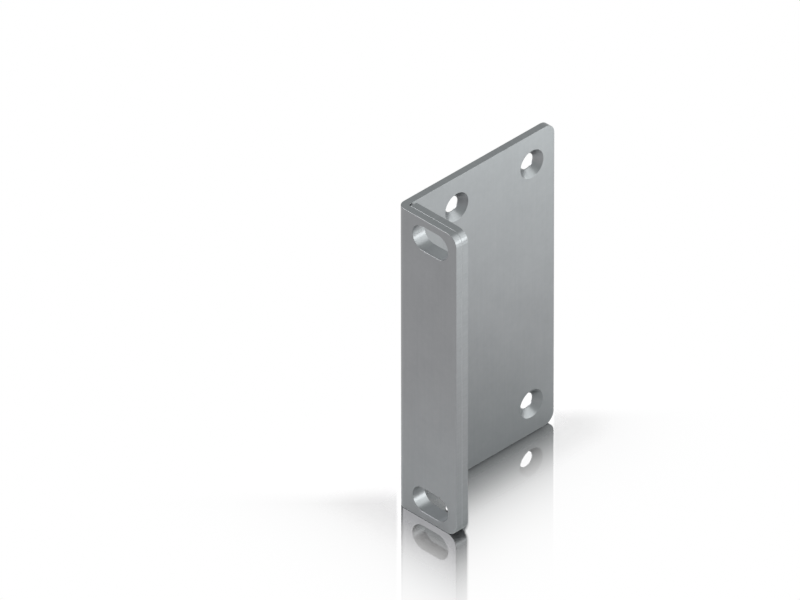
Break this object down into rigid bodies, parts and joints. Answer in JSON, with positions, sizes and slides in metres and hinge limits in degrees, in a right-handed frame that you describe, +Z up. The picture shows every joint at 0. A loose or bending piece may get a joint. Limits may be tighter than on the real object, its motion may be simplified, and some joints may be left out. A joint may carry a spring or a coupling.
{
  "type": "rack mount ear bracket",
  "caption": "Bent sheet steel rack ear with a doubled flange, oblong rack slots and countersunk holes that fix it to the side of a chassis.",
  "frame": {"origin": "centre of the rectangle of four chassis screws, on the face of the side plate that lies on the chassis", "axes": "+X outward from the chassis, towards the outer edge of the flange; +Y from the front of the rack to its rear; +Z up"},
  "size_m": [0.02, 0.0512, 0.0874],
  "materials": {
    "ear_steel": "zinc plated sheet steel, tumbled to an even satin",
    "backing_steel": "zinc plated sheet steel, tumbled to an even satin"
  },
  "bodies": {
    "root": {"angle_bracket": "ear_steel", "flange_backing_plate": "backing_steel"}
  },
  "joints": []
}
